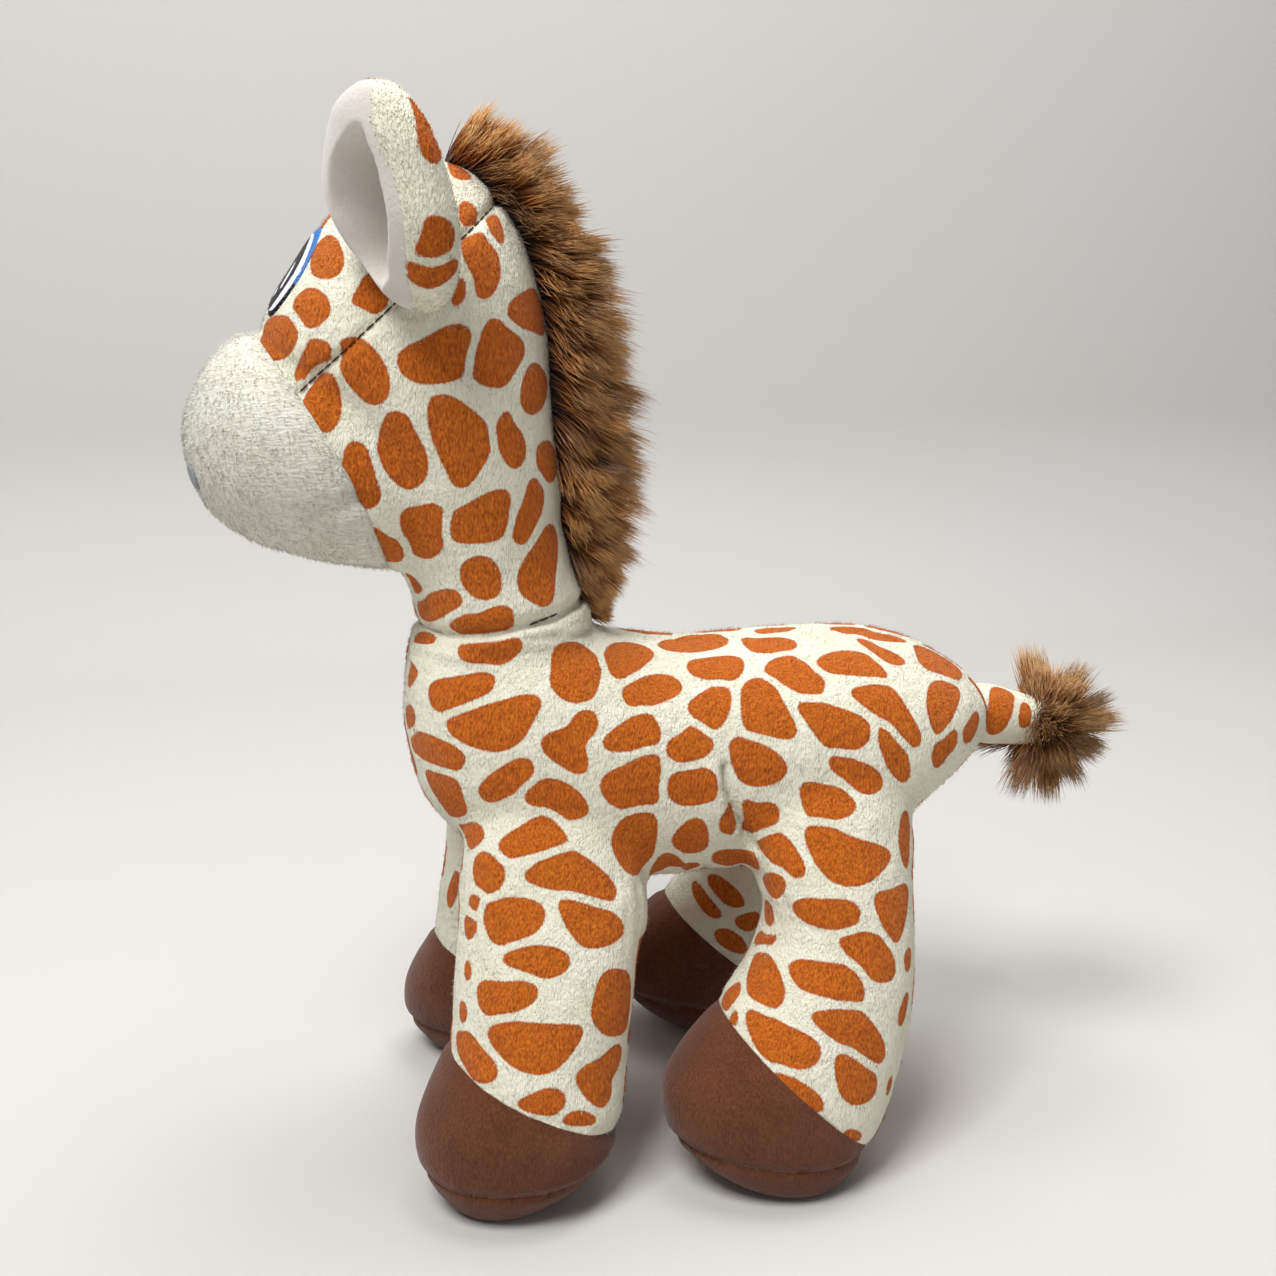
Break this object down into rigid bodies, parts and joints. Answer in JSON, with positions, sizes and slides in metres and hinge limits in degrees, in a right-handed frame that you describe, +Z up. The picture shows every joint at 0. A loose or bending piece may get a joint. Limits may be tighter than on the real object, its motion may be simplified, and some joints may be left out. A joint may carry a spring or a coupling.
{
  "type": "plush giraffe",
  "caption": "Stuffed plush giraffe standing on splayed hooves, with a printed cover over fibre filling, a long-pile mane, cupped ears, embroidered eyes and a tufted tail that flexes.",
  "frame": {"origin": "middle of the toy's length and width on the plane that its soles stand on", "axes": "+Z up, the nose points to -X and the tail to +X, the toy's left side faces -Y"},
  "size_m": [0.2308, 0.1122, 0.249],
  "materials": {
    "printed_plush": "short velour pile, cream with a printed orange-brown giraffe pattern",
    "cream_plush": "slightly longer ivory pile",
    "white_plush": "smooth white short pile",
    "brown_plush": "short brown pile with a streaky nap",
    "long_pile": "long golden-brown pile, lighter at the tips",
    "backing_cloth": "woven backing of the mane's pile",
    "fibre_fill": "loose white polyester fibre filling",
    "eye_thread": "satin-stitched thread, black with blue and lavender-white",
    "nostril_thread": "satin-stitched grey thread"
  },
  "bodies": {
    "body": {"body_panel_left": "printed_plush", "body_panel_right": "printed_plush", "belly_gusset": "printed_plush", "body_filling": "fibre_fill", "front_leg_cover_left": "printed_plush", "front_hoof_left": "brown_plush", "front_sole_left": "brown_plush", "front_leg_filling_left": "fibre_fill", "front_leg_cover_right": "printed_plush", "front_hoof_right": "brown_plush", "front_sole_right": "brown_plush", "front_leg_filling_right": "fibre_fill", "hind_leg_cover_left": "printed_plush", "hind_hoof_left": "brown_plush", "hind_sole_left": "brown_plush", "hind_leg_filling_left": "fibre_fill", "hind_leg_cover_right": "printed_plush", "hind_hoof_right": "brown_plush", "hind_sole_right": "brown_plush", "hind_leg_filling_right": "fibre_fill"},
    "head": {"crown_panel": "printed_plush", "neck_panel_left": "printed_plush", "neck_panel_right": "printed_plush", "muzzle_upper": "cream_plush", "muzzle_chin": "cream_plush", "head_filling": "fibre_fill", "eye_embroidery_left": "eye_thread", "eye_embroidery_right": "eye_thread", "nostril_embroidery_left": "nostril_thread", "nostril_embroidery_right": "nostril_thread", "mane_backing": "backing_cloth", "mane_pile": "long_pile"},
    "ear_left": {"ear_back_left": "printed_plush", "ear_lining_left": "white_plush"},
    "ear_right": {"ear_back_right": "printed_plush", "ear_lining_right": "white_plush"},
    "tail": {"tail_cover": "printed_plush", "tail_filling": "fibre_fill", "tail_tuft": "long_pile"}
  },
  "joints": [
    {"name": "neck_nod", "type": "hinge", "parent": "body", "child": "head", "pos_m": [-0.04577, 0, 0.13414], "axis": [0, -1, 0], "range_deg": [-10, 12], "stiffness_Nm_per_rad": 0.5},
    {"name": "ear_left_fold", "type": "hinge", "parent": "head", "child": "ear_left", "pos_m": [-0.06817, -0.02754, 0.2062], "axis": [0.7904, 0, 0.6125], "range_deg": [-4, 26], "stiffness_Nm_per_rad": 0.02},
    {"name": "ear_right_fold", "type": "hinge", "parent": "head", "child": "ear_right", "pos_m": [-0.06817, 0.02754, 0.2062], "axis": [-0.7904, 0, -0.6125], "range_deg": [-4, 26], "stiffness_Nm_per_rad": 0.02},
    {"name": "tail_lift", "type": "hinge", "parent": "body", "child": "tail", "pos_m": [0.07507, 0, 0.10107], "axis": [0, -1, 0], "range_deg": [-30, 30], "stiffness_Nm_per_rad": 0.08}
  ]
}
